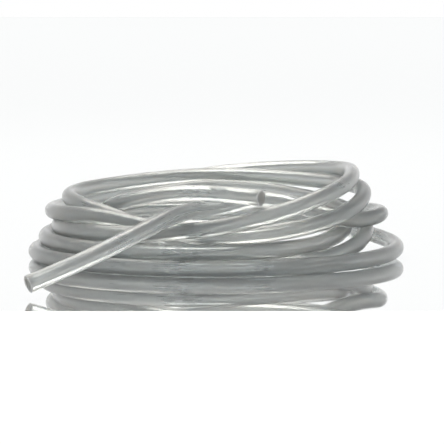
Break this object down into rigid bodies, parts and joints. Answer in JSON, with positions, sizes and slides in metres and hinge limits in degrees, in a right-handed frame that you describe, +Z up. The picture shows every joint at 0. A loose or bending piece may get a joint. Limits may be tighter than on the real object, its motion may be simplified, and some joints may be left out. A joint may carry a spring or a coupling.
{
  "type": "silicone tubing coil",
  "caption": "Loose coil of clear silicone laboratory tubing with one end trailing free and the other curled inside.",
  "frame": {"origin": "middle of the footprint, on the surface that the coil lies on", "axes": "+Z up through the coil, -Y towards the trailing end, +X to the right seen from that side"},
  "size_m": [0.294, 0.3906, 0.0715],
  "materials": {
    "silicone": "gloss"
  },
  "bodies": {
    "root": {"coil": "silicone", "free_end": "silicone", "inner_end": "silicone"}
  },
  "joints": []
}
